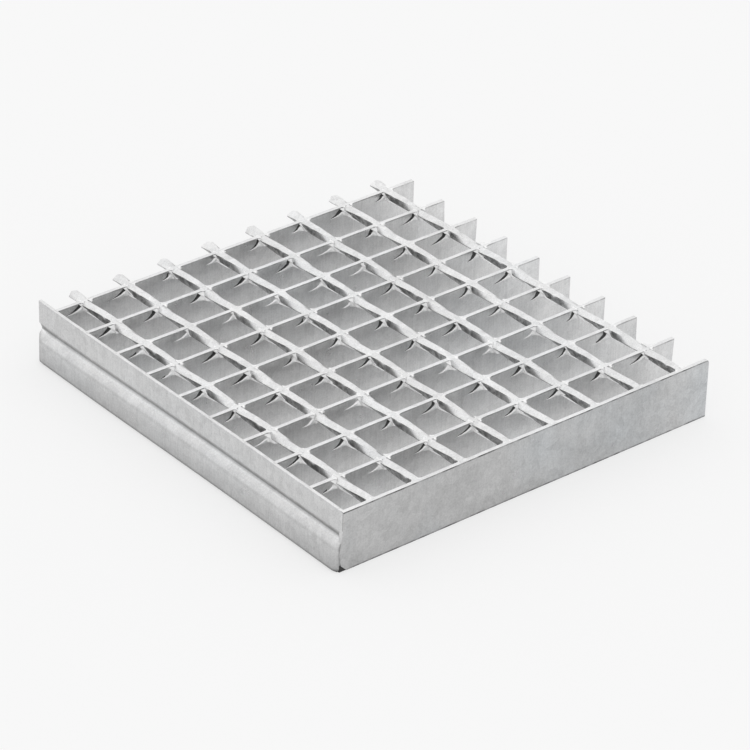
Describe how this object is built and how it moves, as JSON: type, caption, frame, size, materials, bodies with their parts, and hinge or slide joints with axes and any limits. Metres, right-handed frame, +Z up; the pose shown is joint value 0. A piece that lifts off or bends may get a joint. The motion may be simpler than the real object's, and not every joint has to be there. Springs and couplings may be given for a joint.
{
  "type": "steel grating panel",
  "caption": "Flat welded walkway grating of upright bearing bars crossed by twisted square rods, closed by a rolled beaded edge bar on one side.",
  "frame": {"origin": "under the middle of the panel, on the level of the bars' undersides", "axes": "+X along the bearing bars, from the edge bar to the sawn ends; +Y along the cross rods, towards their stubs; +Z up, through the walking surface"},
  "size_m": [0.3192, 0.33, 0.045],
  "materials": {
    "galvanised_steel": "hot-dip galvanised, pale matt grey",
    "galvanised_edge": "hot-dip galvanised, pale matt grey"
  },
  "bodies": {
    "root": {"grating": "galvanised_steel", "edge_bar": "galvanised_edge"}
  },
  "joints": []
}
